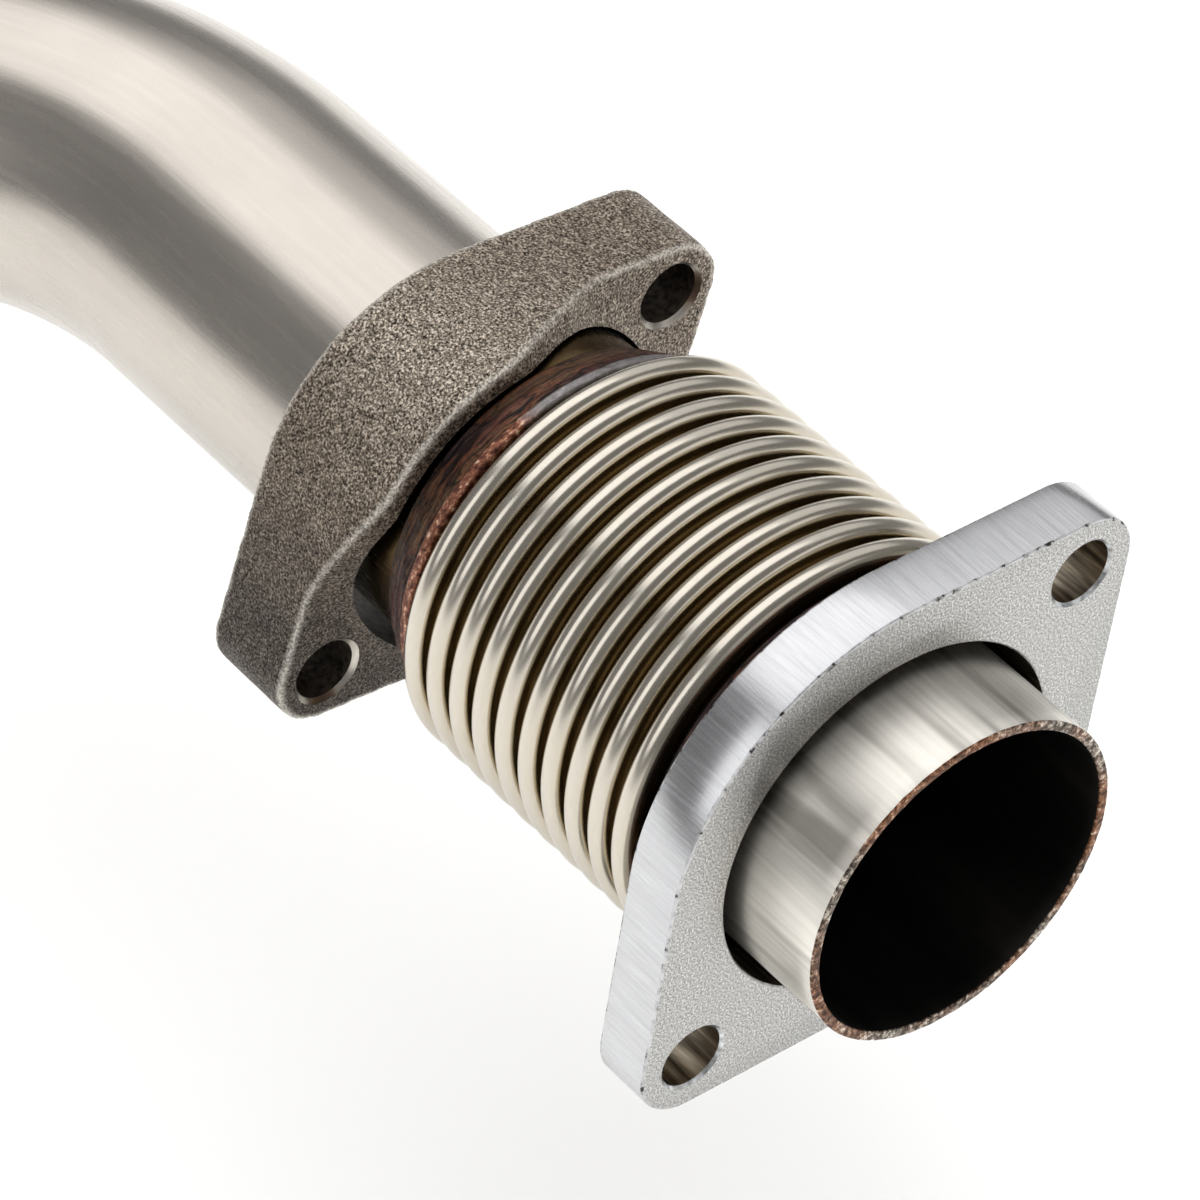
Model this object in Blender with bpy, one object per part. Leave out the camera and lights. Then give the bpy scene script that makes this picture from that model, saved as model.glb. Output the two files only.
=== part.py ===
"""Exhaust bellows joint: a bent stainless tube, a loose cast flange, a two-ply bellows, a plated outlet
flange and the slip liner that runs through it. Metres, +Z up. The origin is the centre of the outlet
flange's front face, and +X runs out of it along the bellows axis."""

from math import asin, cos, pi, radians, sin

import bmesh
import bpy
from mathutils import Matrix, Vector

GAP = 0.0003  # left between pieces that touch or are welded

# Slip liner
LINER_RADIUS = 0.0254
LINER_WALL = 0.0015
LINER_REACH = 0.0150  # how far it stands out of the outlet flange
LINER_EDGE = 0.0003

# Bent tube
TUBE_STEP = 0.0003  # the tube is drawn this much smaller in radius than the liner
TUBE_WALL = 0.0015
TUBE_STRAIGHT = 0.0765  # from the seam weld to the start of the bend
BEND_RADIUS = 0.1016
BEND_ANGLE = radians(45)
BEND_DROP = radians(20)  # the bend leaves towards -Y and falls this much below level
TUBE_TAIL = 0.0250  # straight stretch after the bend
SEAM_WIDTH = 0.0018  # butt weld between the liner and the bent tube

# Bellows
PLY = 0.0003
CONVOLUTIONS = 10
PITCH = 0.00492
CONVOLUTION_HEIGHT = 0.00403  # from a root to a crest
CREST_FLAT_SHARE = 0.244  # half width of the crest's top, as a share of the pitch
CREST_HALF_SHARE = 0.35  # half width of the crest's shoulders
ROOT_FLAT_SHARE = 0.073  # half width of the root's bottom
CREST_SHOULDER = 0.0009  # how far the shoulders lie under the top
CUFF_SEAT = 0.0002  # the outlet cuff stands this much outside the outlet flange's bore

# Outlet flange
PLATE_THICK = 0.0090
LINER_CLEARANCE = 0.0021  # round the liner in the outlet flange's bore
PLATE_LAND = 0.0090  # metal round the bore
PLATE_HOLE_RADIUS = 0.0049
PLATE_WEB = 0.00837  # metal between the bore and a bolt hole
PLATE_EAR_WALL = 0.0037  # metal outside a bolt hole
PLATE_ROLL = radians(37.4)  # bolt line, from +Y towards +Z
PLATE_EDGE = 0.0004

# Cast flange
CAST_EAR_THICK = 0.0154
CAST_RAISE = 0.0082  # the middle stands this much proud of the ears
CAST_BORE_CLEARANCE = 0.00175  # round the bent tube
CAST_REST = 0.00065  # what is left of that on the side where the flange hangs nearest the tube
CAST_LAND = 0.00365  # metal round the bore
CAST_HOLE_RADIUS = 0.0048
CAST_WEB = 0.00335  # metal between the bore and a bolt hole
CAST_EAR_WALL = 0.0034  # metal outside a bolt hole
CAST_ROLL = radians(30.3)
CAST_EDGE = 0.0008
CAST_PAD_CLEAR = 0.0055  # from a bolt hole's centre to the foot of the raised middle
CAST_PAD_SLOPE = 0.0180  # length of the slope from the ear up to the raised middle
CAST_STANDOFF = 0.0005  # from the inlet weld to the raised middle

# Ends of the bellows
CUFF_LENGTH = 0.0029
COLLAR_WALL = 0.0027
WELD_LENGTH = 0.0062
WELD_HEIGHT = 0.0030
OUTLET_COLLAR_WALL = 0.0016
OUTLET_COLLAR_LENGTH = 0.00218
OUTLET_WELD = 0.0016

HOLE_CHAMFER = 0.00025
ROUND_STEPS = 40
PLY_STEPS = 20
HOLE_STEPS = 24

# Sizes that follow from what each piece fits round or into
TUBE_RADIUS = LINER_RADIUS - TUBE_STEP
PLATE_BORE_RADIUS = LINER_RADIUS + LINER_CLEARANCE
PLATE_RADIUS = PLATE_BORE_RADIUS + PLATE_LAND
PLATE_BOLT_OFFSET = PLATE_BORE_RADIUS + PLATE_WEB + PLATE_HOLE_RADIUS
PLATE_EAR_RADIUS = PLATE_HOLE_RADIUS + PLATE_EAR_WALL
ROOT_RADIUS = PLATE_BORE_RADIUS + CUFF_SEAT + 2 * PLY + GAP
CREST_RADIUS = ROOT_RADIUS + CONVOLUTION_HEIGHT
CREST_FLAT = CREST_FLAT_SHARE * PITCH
CREST_HALF = CREST_HALF_SHARE * PITCH
ROOT_FLAT = ROOT_FLAT_SHARE * PITCH
CAST_BORE_RADIUS = TUBE_RADIUS + CAST_BORE_CLEARANCE
CAST_RADIUS = CAST_BORE_RADIUS + CAST_LAND
CAST_BOLT_OFFSET = CAST_BORE_RADIUS + CAST_WEB + CAST_HOLE_RADIUS
CAST_EAR_RADIUS = CAST_HOLE_RADIUS + CAST_EAR_WALL
CAST_PAD_FOOT = CAST_BOLT_OFFSET - CAST_PAD_CLEAR
CAST_PAD_HALF = CAST_PAD_FOOT - CAST_PAD_SLOPE
CAST_HANG = CAST_BORE_CLEARANCE - CAST_REST

# Places along the axis that follow from the sizes above
PLATE_BACK = -PLATE_THICK
OUTLET_WELD_END = PLATE_BACK - GAP
OUTLET_COLLAR_END = OUTLET_WELD_END - OUTLET_WELD - GAP
BELLOWS_OUTLET = OUTLET_COLLAR_END - OUTLET_COLLAR_LENGTH - GAP - ROOT_FLAT
BELLOWS_INLET = BELLOWS_OUTLET - CONVOLUTIONS * PITCH
FIRST_CREST = BELLOWS_INLET + PITCH / 2
BELLOWS_MIDDLE = (BELLOWS_INLET + BELLOWS_OUTLET) / 2
CUFF_INLET = BELLOWS_INLET - CUFF_LENGTH
PLY_FLATS = cos(pi / PLY_STEPS)  # how near the middle of a flat comes, against its corners
ROUND_FLATS = cos(pi / ROUND_STEPS)
INLET_CUFF_BORE = (LINER_RADIUS + GAP) / PLY_FLATS  # inner face of the inner ply, round the liner
INLET_CUFF_RADIUS = INLET_CUFF_BORE + 2 * PLY + GAP
INLET_COLLAR_BORE = (INLET_CUFF_RADIUS + GAP) / ROUND_FLATS
OUTLET_COLLAR_BORE = (ROOT_RADIUS + GAP) / ROUND_FLATS
SEAM_MIDDLE = BELLOWS_INLET - CUFF_LENGTH / 2
WELD_INLET = CUFF_INLET - WELD_LENGTH
CAST_PAD_FACE = WELD_INLET - CAST_STANDOFF
CAST_EAR_FACE = CAST_PAD_FACE - CAST_RAISE
CAST_BACK = CAST_EAR_FACE - CAST_EAR_THICK
BEND_START = SEAM_MIDDLE - SEAM_WIDTH / 2 - GAP - TUBE_STRAIGHT
CAST_CENTRE = Vector((0, -cos(CAST_ROLL), -sin(CAST_ROLL))) * CAST_HANG


def clear_scene():
    for obj in list(bpy.data.objects):
        bpy.data.objects.remove(obj, do_unlink=True)


def metal(name, colour, roughness):
    material = bpy.data.materials.new(name)
    material.use_nodes = True
    shader = material.node_tree.nodes["Principled BSDF"]
    shader.inputs["Base Color"].default_value = (*colour, 1)
    shader.inputs["Metallic"].default_value = 1
    shader.inputs["Roughness"].default_value = roughness
    material.diffuse_color = (*colour, 1)
    return material


def body(name, place=(0, 0, 0)):
    """An empty on the joint's axis that the pieces of one moving body hang from."""
    empty = bpy.data.objects.new(name, None)
    empty.location = place
    empty.empty_display_size = 0.02
    bpy.context.scene.collection.objects.link(empty)
    return empty


def piece(name, bm, material, parent, smooth=True):
    """Turns a bmesh drawn about the origin into a named object that hangs from its body."""
    bmesh.ops.recalc_face_normals(bm, faces=bm.faces)
    mesh = bpy.data.meshes.new(name)
    bm.to_mesh(mesh)
    bm.free()
    mesh.materials.append(material)
    mesh.polygons.foreach_set("use_smooth", [smooth] * len(mesh.polygons))
    if smooth:
        mesh.set_sharp_from_angle(angle=radians(35))
    obj = bpy.data.objects.new(name, mesh)
    bpy.context.scene.collection.objects.link(obj)
    obj.parent = parent
    obj.location = -parent.location
    return obj


def shell(stations, steps):
    """A closed skin through rings. Each station is (centre, side, up, radius), and the last meets the first."""
    bm = bmesh.new()
    rings = []
    for centre, side, up, radius in stations:
        ring = []
        for step in range(steps):
            turn = 2 * pi * step / steps
            ring.append(bm.verts.new(centre + radius * (cos(turn) * side + sin(turn) * up)))
        rings.append(ring)
    for number, ring in enumerate(rings):
        following = rings[(number + 1) % len(rings)]
        for step in range(steps):
            after = (step + 1) % steps
            bm.faces.new((ring[step], ring[after], following[after], following[step]))
    return bm


def turned(section, steps=ROUND_STEPS):
    """A ring turned about the X axis from a closed section of (x, radius) points."""
    side = Vector((0, 1, 0))
    up = Vector((0, 0, 1))
    return shell([(Vector((x, 0, 0)), side, up, radius) for x, radius in section], steps)


def offset(line, distance):
    """The open (x, radius) line moved down by distance, square to itself, with mitred corners."""
    points = [Vector(point) for point in line]
    normals = []
    for start, end in zip(points, points[1:]):
        along = (end - start).normalized()
        normals.append(Vector((along.y, -along.x)))
    moved = [points[0] + normals[0] * distance]
    for point, before, after in zip(points[1:], normals, normals[1:]):
        mitre = (before + after).normalized()
        moved.append(point + mitre * distance / mitre.dot(before))
    moved.append(points[-1] + normals[-1] * distance)
    return [tuple(point) for point in moved]


def bellows_line():
    """Outer face of the outer ply, from the inlet cuff to the outlet cuff."""
    line = [(CUFF_INLET, INLET_CUFF_RADIUS), (BELLOWS_INLET - ROOT_FLAT, INLET_CUFF_RADIUS)]
    for number in range(CONVOLUTIONS):
        crest = FIRST_CREST + number * PITCH
        line += [
            (crest - CREST_HALF, CREST_RADIUS - CREST_SHOULDER),
            (crest - CREST_FLAT, CREST_RADIUS),
            (crest + CREST_FLAT, CREST_RADIUS),
            (crest + CREST_HALF, CREST_RADIUS - CREST_SHOULDER),
        ]
        if number < CONVOLUTIONS - 1:
            root = crest + PITCH / 2
            line += [(root - ROOT_FLAT, ROOT_RADIUS), (root + ROOT_FLAT, ROOT_RADIUS)]
    line += [(BELLOWS_OUTLET + ROOT_FLAT, ROOT_RADIUS), (PLATE_BACK - GAP, ROOT_RADIUS)]
    return line


def ply(depth):
    """One ply whose outer face lies this deep under the bellows' outer face."""
    line = bellows_line()
    return turned(offset(line, depth) + offset(line, depth + PLY)[::-1], PLY_STEPS)


def arc(centre, radius, start, end, steps):
    points = []
    for step in range(steps + 1):
        turn = start + (end - start) * step / steps
        points.append((centre + radius * cos(turn), radius * sin(turn)))
    return points


def ear_outline(radius, ear_radius, bolt_offset):
    """A round middle with two round ears, joined by the lines that touch both."""
    lean = pi / 2 - asin((radius - ear_radius) / bolt_offset)
    points = arc(bolt_offset, ear_radius, -lean, lean, 12)
    points += arc(0, radius, lean, pi - lean, 14)
    points += arc(-bolt_offset, ear_radius, pi - lean, pi + lean, 12)
    points += arc(0, radius, pi + lean, 2 * pi - lean, 14)
    return points


def plate(back, front, radius, ear_radius, bolt_offset, edge):
    """A flat plate of the eared outline, its rims eased by a small bevel."""
    bm = bmesh.new()
    levels = ((back, edge), (back + edge, 0), (front - edge, 0), (front, edge))
    rings = []
    for x, inset in levels:
        outline = ear_outline(radius - inset, ear_radius - inset, bolt_offset)
        rings.append([bm.verts.new((x, y, z)) for y, z in outline])
    for lower, upper in zip(rings, rings[1:]):
        for number in range(len(lower)):
            after = (number + 1) % len(lower)
            bm.faces.new((lower[number], lower[after], upper[after], upper[number]))
    bm.faces.new(rings[0])
    bm.faces.new(rings[-1])
    return bm


def round_cutter(name, centre, radius, back, front, chamfer, steps):
    """A drill that runs past both faces and eases the rim of the hole at each."""
    past = 0.004
    wide = radius + chamfer + past
    section = (
        (back - past, wide),
        (back + chamfer, radius),
        (front - chamfer, radius),
        (front + past, wide),
    )
    bm = bmesh.new()
    rings = []
    for x, reach in section:
        turns = [2 * pi * step / steps for step in range(steps)]
        rings.append(
            [bm.verts.new((x, centre[0] + reach * cos(t), centre[1] + reach * sin(t))) for t in turns]
        )
    for lower, upper in zip(rings, rings[1:]):
        for step in range(steps):
            after = (step + 1) % steps
            bm.faces.new((lower[step], lower[after], upper[after], upper[step]))
    bm.faces.new(rings[0])
    bm.faces.new(rings[-1])
    return helper(name, bm)


def saddle_cutter(name, side, half_width):
    """Takes the metal off one ear, leaving the raised middle with a long easy slope down to it."""
    slope = []
    steps = 12
    for step in range(steps + 1):
        share = step / steps
        height = CAST_RAISE * (1 - cos(pi * share)) / 2
        slope.append((CAST_EAR_FACE + height, side * (CAST_PAD_FOOT - CAST_PAD_SLOPE * share)))
    top = CAST_PAD_FACE + 0.005
    far = side * (CAST_BOLT_OFFSET + CAST_EAR_RADIUS + 0.01)
    section = [(CAST_EAR_FACE, far), *slope, (top, slope[-1][1]), (top, far)]
    bm = bmesh.new()
    rings = [[bm.verts.new((x, y, z)) for x, y in section] for z in (-half_width, half_width)]
    for number in range(len(section)):
        after = (number + 1) % len(section)
        bm.faces.new((rings[0][number], rings[0][after], rings[1][after], rings[1][number]))
    bm.faces.new(rings[0])
    bm.faces.new(rings[1])
    return helper(name, bm)


def helper(name, bm):
    bmesh.ops.recalc_face_normals(bm, faces=bm.faces)
    mesh = bpy.data.meshes.new(name)
    bm.to_mesh(mesh)
    bm.free()
    obj = bpy.data.objects.new(name, mesh)
    bpy.context.scene.collection.objects.link(obj)
    obj.hide_render = True
    obj.display_type = "WIRE"
    return obj


def cut(obj, cutter):
    cutter.parent = obj
    modifier = obj.modifiers.new(cutter.name, "BOOLEAN")
    modifier.operation = "DIFFERENCE"
    modifier.solver = "EXACT"
    modifier.object = cutter


def place_flange(obj, roll, centre=Vector((0, 0, 0))):
    """Rolls a flange drawn with its bolt line on Y to its own place about the axis."""
    obj.rotation_euler = (roll, 0, 0)
    obj.location = centre - obj.parent.location


def outlet_flange(parent, material):
    bm = plate(PLATE_BACK, 0, PLATE_RADIUS, PLATE_EAR_RADIUS, PLATE_BOLT_OFFSET, PLATE_EDGE)
    obj = piece("outlet_flange", bm, material, parent)
    cut(
        obj,
        round_cutter("outlet_bore_cut", (0, 0), PLATE_BORE_RADIUS, PLATE_BACK, 0, HOLE_CHAMFER, ROUND_STEPS),
    )
    for side in (-1, 1):
        centre = (side * PLATE_BOLT_OFFSET, 0)
        name = f"outlet_hole_cut_{side + 2}"
        cut(obj, round_cutter(name, centre, PLATE_HOLE_RADIUS, PLATE_BACK, 0, HOLE_CHAMFER, HOLE_STEPS))
    place_flange(obj, PLATE_ROLL)


def cast_flange(parent, material):
    bm = plate(CAST_BACK, CAST_PAD_FACE, CAST_RADIUS, CAST_EAR_RADIUS, CAST_BOLT_OFFSET, CAST_EDGE)
    obj = piece("cast_flange", bm, material, parent)
    cut(
        obj,
        round_cutter(
            "cast_bore_cut", (0, 0), CAST_BORE_RADIUS, CAST_BACK, CAST_PAD_FACE, HOLE_CHAMFER, ROUND_STEPS
        ),
    )
    for side in (-1, 1):
        cut(obj, saddle_cutter(f"cast_saddle_cut_{side + 2}", side, 2 * CAST_RADIUS))
    for side in (-1, 1):
        centre = (side * CAST_BOLT_OFFSET, 0)
        name = f"cast_hole_cut_{side + 2}"
        cut(
            obj,
            round_cutter(name, centre, CAST_HOLE_RADIUS, CAST_BACK, CAST_EAR_FACE, HOLE_CHAMFER, HOLE_STEPS),
        )
    place_flange(obj, CAST_ROLL, CAST_CENTRE)


def slip_liner(parent, material):
    start = SEAM_MIDDLE + SEAM_WIDTH / 2 + GAP
    inner = LINER_RADIUS - LINER_WALL
    section = (
        (start, LINER_RADIUS),
        (LINER_REACH - LINER_EDGE, LINER_RADIUS),
        (LINER_REACH, LINER_RADIUS - LINER_EDGE),
        (LINER_REACH, inner + LINER_EDGE),
        (LINER_REACH - LINER_EDGE, inner),
        (start, inner),
    )
    piece("slip_liner", turned(section), material, parent)


def seam_weld(parent, material):
    start = SEAM_MIDDLE - SEAM_WIDTH / 2
    end = SEAM_MIDDLE + SEAM_WIDTH / 2
    inner = TUBE_RADIUS - TUBE_WALL
    section = (
        (start, TUBE_RADIUS),
        (end, TUBE_RADIUS),
        (end, inner),
        (SEAM_MIDDLE, inner - 0.0003),
        (start, inner),
    )
    piece("seam_weld", turned(section), material, parent)


def bent_tube(parent, material):
    side = Vector((0, -cos(BEND_DROP), -sin(BEND_DROP)))
    up = Vector((1, 0, 0)).cross(side)
    begin = BEND_START + TUBE_STRAIGHT
    path = [(Vector((begin, 0, 0)), side), (Vector((BEND_START, 0, 0)), side)]
    steps = 9
    for step in range(1, steps + 1):
        turn = BEND_ANGLE * step / steps
        centre = Vector((BEND_START - BEND_RADIUS * sin(turn), 0, 0)) + side * BEND_RADIUS * (1 - cos(turn))
        path.append((centre, side * cos(turn) + Vector((sin(turn), 0, 0))))
    last, across = path[-1]
    onward = Vector((-cos(BEND_ANGLE), 0, 0)) + side * sin(BEND_ANGLE)
    path.append((last + onward * TUBE_TAIL, across))
    outer = [(centre, across, up, TUBE_RADIUS) for centre, across in path]
    inner = [(centre, across, up, TUBE_RADIUS - TUBE_WALL) for centre, across in path[::-1]]
    piece("bent_tube", shell(outer + inner, ROUND_STEPS), material, parent)


def inlet_collar(parent, material):
    """The band that clamps both plies' cuffs to the tube."""
    inner = INLET_COLLAR_BORE
    outer = inner + COLLAR_WALL
    start = CUFF_INLET + 0.0002
    end = BELLOWS_INLET - ROOT_FLAT - GAP - 0.0003
    ease = 0.0005
    section = (
        (start, inner),
        (start, outer - ease),
        (start + ease, outer),
        (end - ease, outer),
        (end, outer - ease),
        (end, inner),
    )
    piece("inlet_collar", turned(section), material, parent)


def inlet_weld(parent, material):
    """Fillet weld from the tube up to the collar and the ends of the plies."""
    foot = (TUBE_RADIUS + GAP) / ROUND_FLATS
    end = CUFF_INLET - GAP
    section = (
        (WELD_INLET, foot),
        (WELD_INLET, foot + 0.0005),
        (WELD_INLET + 0.4 * WELD_LENGTH, foot + 0.62 * WELD_HEIGHT),
        (end - 0.1 * WELD_LENGTH, foot + WELD_HEIGHT),
        (end, foot + WELD_HEIGHT),
        (end, foot),
    )
    piece("inlet_weld", turned(section), material, parent)


def outlet_collar(parent, material):
    """Plain ring round the plies' outlet cuffs."""
    inner = OUTLET_COLLAR_BORE
    outer = inner + OUTLET_COLLAR_WALL
    end = OUTLET_COLLAR_END
    start = end - OUTLET_COLLAR_LENGTH
    section = ((start, inner), (start, outer), (end, outer), (end, inner))
    piece("outlet_collar", turned(section), material, parent)


def outlet_weld(parent, material):
    """Fillet weld from the back of the outlet flange to the collar."""
    inner = OUTLET_COLLAR_BORE
    end = OUTLET_WELD_END
    start = end - OUTLET_WELD
    section = (
        (start, inner),
        (start, inner + 0.7 * OUTLET_COLLAR_WALL),
        (start + 0.5 * OUTLET_WELD, inner + 1.3 * OUTLET_COLLAR_WALL),
        (end, inner + 1.9 * OUTLET_COLLAR_WALL),
        (end, inner),
    )
    piece("outlet_weld", turned(section), material, parent)


def main():
    clear_scene()
    satin = metal("satin_stainless", (0.62, 0.59, 0.55), 0.22)
    mill = metal("mill_stainless", (0.52, 0.50, 0.47), 0.30)
    sheet = metal("bellows_sheet", (0.60, 0.53, 0.44), 0.26)
    plated = metal("plated_steel", (0.55, 0.57, 0.60), 0.38)
    cast = metal("sand_cast_iron", (0.24, 0.22, 0.20), 0.62)
    collar = metal("scaled_steel", (0.30, 0.20, 0.15), 0.50)
    bead = metal("weld_bead", (0.36, 0.27, 0.22), 0.42)

    outlet = body("outlet_body")
    bellows = body("bellows_body", (BELLOWS_MIDDLE, 0, 0))
    pipe = body("pipe_body", (BELLOWS_MIDDLE, 0, 0))
    loose = body("loose_flange_body", CAST_CENTRE)

    outlet_flange(outlet, plated)
    outlet_collar(outlet, collar)
    outlet_weld(outlet, bead)
    piece("bellows_outer_ply", ply(0), sheet, bellows)
    piece("bellows_inner_ply", ply(PLY + GAP), sheet, bellows)
    slip_liner(pipe, mill)
    seam_weld(pipe, bead)
    bent_tube(pipe, satin)
    inlet_collar(pipe, collar)
    inlet_weld(pipe, bead)
    cast_flange(loose, cast)


main()
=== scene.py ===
from functools import partial
from math import asin, cos, pi, radians, sin

import bmesh
import bpy
import numpy as np
from mathutils import Euler, Matrix, Vector, noise


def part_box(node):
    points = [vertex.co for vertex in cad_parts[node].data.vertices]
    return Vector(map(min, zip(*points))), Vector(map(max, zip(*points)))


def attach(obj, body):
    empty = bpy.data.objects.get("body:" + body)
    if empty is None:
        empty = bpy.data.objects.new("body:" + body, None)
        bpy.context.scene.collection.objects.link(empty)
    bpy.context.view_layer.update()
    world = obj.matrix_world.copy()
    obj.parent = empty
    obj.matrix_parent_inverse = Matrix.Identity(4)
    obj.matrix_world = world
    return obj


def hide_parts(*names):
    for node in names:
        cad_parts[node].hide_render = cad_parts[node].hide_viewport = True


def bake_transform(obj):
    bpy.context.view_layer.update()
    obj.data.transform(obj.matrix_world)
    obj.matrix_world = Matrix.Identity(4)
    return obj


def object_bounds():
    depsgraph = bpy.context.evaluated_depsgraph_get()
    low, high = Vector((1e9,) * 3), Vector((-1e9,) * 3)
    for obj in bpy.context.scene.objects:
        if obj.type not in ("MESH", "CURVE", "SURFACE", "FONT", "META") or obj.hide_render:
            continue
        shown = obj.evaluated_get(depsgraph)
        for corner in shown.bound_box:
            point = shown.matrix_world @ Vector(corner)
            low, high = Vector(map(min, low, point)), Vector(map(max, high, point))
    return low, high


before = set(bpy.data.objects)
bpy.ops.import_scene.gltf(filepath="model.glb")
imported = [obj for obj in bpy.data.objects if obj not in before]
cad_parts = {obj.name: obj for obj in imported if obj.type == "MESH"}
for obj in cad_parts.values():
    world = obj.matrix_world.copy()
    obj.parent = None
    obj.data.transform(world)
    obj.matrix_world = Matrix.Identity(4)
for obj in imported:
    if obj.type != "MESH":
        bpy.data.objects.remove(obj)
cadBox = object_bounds()
mm = 0.001

# camera, floor and studio

camera = {
    "place": (0.44462, -0.40345, 0.64841),
    "azimuth": 51.36,
    "elevation": 45.42,
    "lens": 202.4,
    "sensor": 36,
    "clipStart": 0.05,
}
studio = {
    "floorDrop": 80 * mm,  # the fitting is held by its flange, so the tube has room to swing
    "floorSize": 3.6,
    "floorColour": "#f7f7f6",
    "floorRoughness": 0.9,
    "worldGrey": 0.24,
    "softboxes": (  # name, centre, width and depth, turn in degrees, watts
        ("key", (-0.94, 0.11, 1.0), (1.92, 1.28), (0, 0, 0), 11.0),  # its near edge gives a hard dark line
        ("side", (-0.79, 1.95, 1.0), (2.22, 2.4), (0, 0, 0), 10.0),
        ("overhead", (0, 0, 2.2), (3.2, 3.2), (0, 0, 0), 57.0),
        ("front", (1.5, 0.55, 0.45), (1.1, 1.9), (0, 76, 20), 5.5),  # the bellows' second glint
        ("flank", (-0.12, -1.15, 0.72), (0.8, 1.1), (57, 0, 0), 3.6),  # on the crests' outlet sides only
    ),
    "unmirrored": "overhead",  # it only whitens the floor and softens the shadow
}


def hexColour(text):
    channels = [int(text[i:i + 2], 16) / 255 for i in (1, 3, 5)]
    return tuple(c / 12.92 if c <= 0.04045 else ((c + 0.055) / 1.055) ** 2.4 for c in channels) + (1.0,)


def addNode(tree, kind, inputs=None, output=0, stops=(), **settings):
    # sockets are linked, numbers and hex colours are set, stops fill a ramp, and one output comes back
    node = tree.nodes.new(kind if "Node" in kind else "ShaderNode" + kind)
    for name, value in settings.items():
        setattr(node, name, value)
    for socket, value in (inputs or {}).items():
        if isinstance(value, bpy.types.NodeSocket):
            tree.links.new(value, node.inputs[socket])
        else:
            node.inputs[socket].default_value = hexColour(value) if isinstance(value, str) else value
    elements = node.color_ramp.elements if stops else ()
    while len(elements) < len(stops):
        elements.new(0.5)
    for element, (place, colour) in zip(elements, stops):
        element.position = place
        element.color = hexColour(colour) if isinstance(colour, str) else (colour, colour, colour, 1)
    return node.outputs[output] if node.outputs else node


def newMaterial(name):
    # an empty material, and addNode for its own tree
    material = bpy.data.materials.new(name)
    material.use_nodes = True
    material.node_tree.nodes.clear()
    return material, partial(addNode, material.node_tree)


def finishMaterial(material, colour, metallic, roughness, height=None, bump=0.0, depth=0.0):
    # every IOR is left at its default
    add = partial(addNode, material.node_tree)
    inputs = {"Base Color": colour, "Metallic": metallic, "Roughness": roughness}
    if height is not None:
        inputs["Normal"] = add("Bump", {"Height": height, "Strength": bump, "Distance": depth})
    surface = add("BsdfPrincipled", inputs)
    add("OutputMaterial", {"Surface": surface})
    return material


def addToScene(name, data):
    made = bpy.data.objects.new(name, data)
    bpy.context.scene.collection.objects.link(made)
    return made


def setCamera():
    cameraData = bpy.data.cameras.new("camera")
    cameraData.lens = camera["lens"]
    cameraData.sensor_width = camera["sensor"]
    cameraData.clip_start = camera["clipStart"]
    cameraObject = addToScene("camera", cameraData)
    cameraObject.location = camera["place"]
    cameraObject.rotation_euler = Euler((radians(90 - camera["elevation"]), 0, radians(camera["azimuth"])))
    bpy.context.scene.camera = cameraObject


def setFloor():
    height = cadBox[0].z - studio["floorDrop"]
    half = studio["floorSize"] / 2
    corners = [(x * half, y * half, height) for x, y in ((-1, -1), (1, -1), (1, 1), (-1, 1))]
    mesh = bpy.data.meshes.new("floor")
    mesh.from_pydata(corners, [], [(0, 1, 2, 3)])
    paper, _ = newMaterial("matt white paper sweep")
    finishMaterial(paper, studio["floorColour"], metallic=0.0, roughness=studio["floorRoughness"])
    mesh.materials.append(paper)
    addToScene("floor", mesh)


def setLights():
    world = bpy.data.worlds.new("studio")
    world.use_nodes = True
    world.node_tree.nodes["Background"].inputs["Color"].default_value = (*[studio["worldGrey"]] * 3, 1)
    bpy.context.scene.world = world
    for name, place, (width, depth), turn, power in studio["softboxes"]:
        lampData = bpy.data.lights.new(name, "AREA")
        lampData.shape = "RECTANGLE"
        lampData.size = width
        lampData.size_y = depth
        lampData.energy = power
        lamp = addToScene(name, lampData)
        lamp.location = place
        lamp.rotation_euler = Euler([radians(angle) for angle in turn])
        lamp.visible_glossy = name != studio["unmirrored"]
    bpy.context.scene.view_settings.view_transform = "Standard"


setCamera()
setFloor()
setLights()
print("studio set")

# sizes read from the frame


def nodeBox(name):
    low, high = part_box(name)
    return Vector(low), Vector(high)


linerLow, linerHigh = nodeBox("slip_liner")
plyLow, plyHigh = nodeBox("bellows_outer_ply")
plateLow, plateHigh = nodeBox("outlet_flange")
castLow, castHigh = nodeBox("cast_flange")
weldLow, weldHigh = nodeBox("inlet_weld")
bandLow, bandHigh = nodeBox("inlet_collar")
ringLow, ringHigh = nodeBox("outlet_collar")
outletWeldLow, outletWeldHigh = nodeBox("outlet_weld")
seamLow, seamHigh = nodeBox("seam_weld")

# making meshes


def makeObject(name, vertices, faces, materials, faceSlots=None, sharp=35):
    mesh = bpy.data.meshes.new(name)
    mesh.from_pydata([tuple(v) for v in vertices], [], faces)
    for material in materials:
        mesh.materials.append(material)
    if faceSlots is not None:
        mesh.polygons.foreach_set("material_index", faceSlots)
    bm = bmesh.new()
    bm.from_mesh(mesh)
    bmesh.ops.recalc_face_normals(bm, faces=bm.faces)
    bm.to_mesh(mesh)
    bm.free()
    shadeSmooth(mesh, sharp)
    return addToScene(name, mesh)


def shadeSmooth(mesh, sharp):
    # smooth, but for the edges over an angle in degrees
    mesh.polygons.foreach_set("use_smooth", [True] * len(mesh.polygons))
    mesh.set_sharp_from_angle(angle=radians(sharp))


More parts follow.
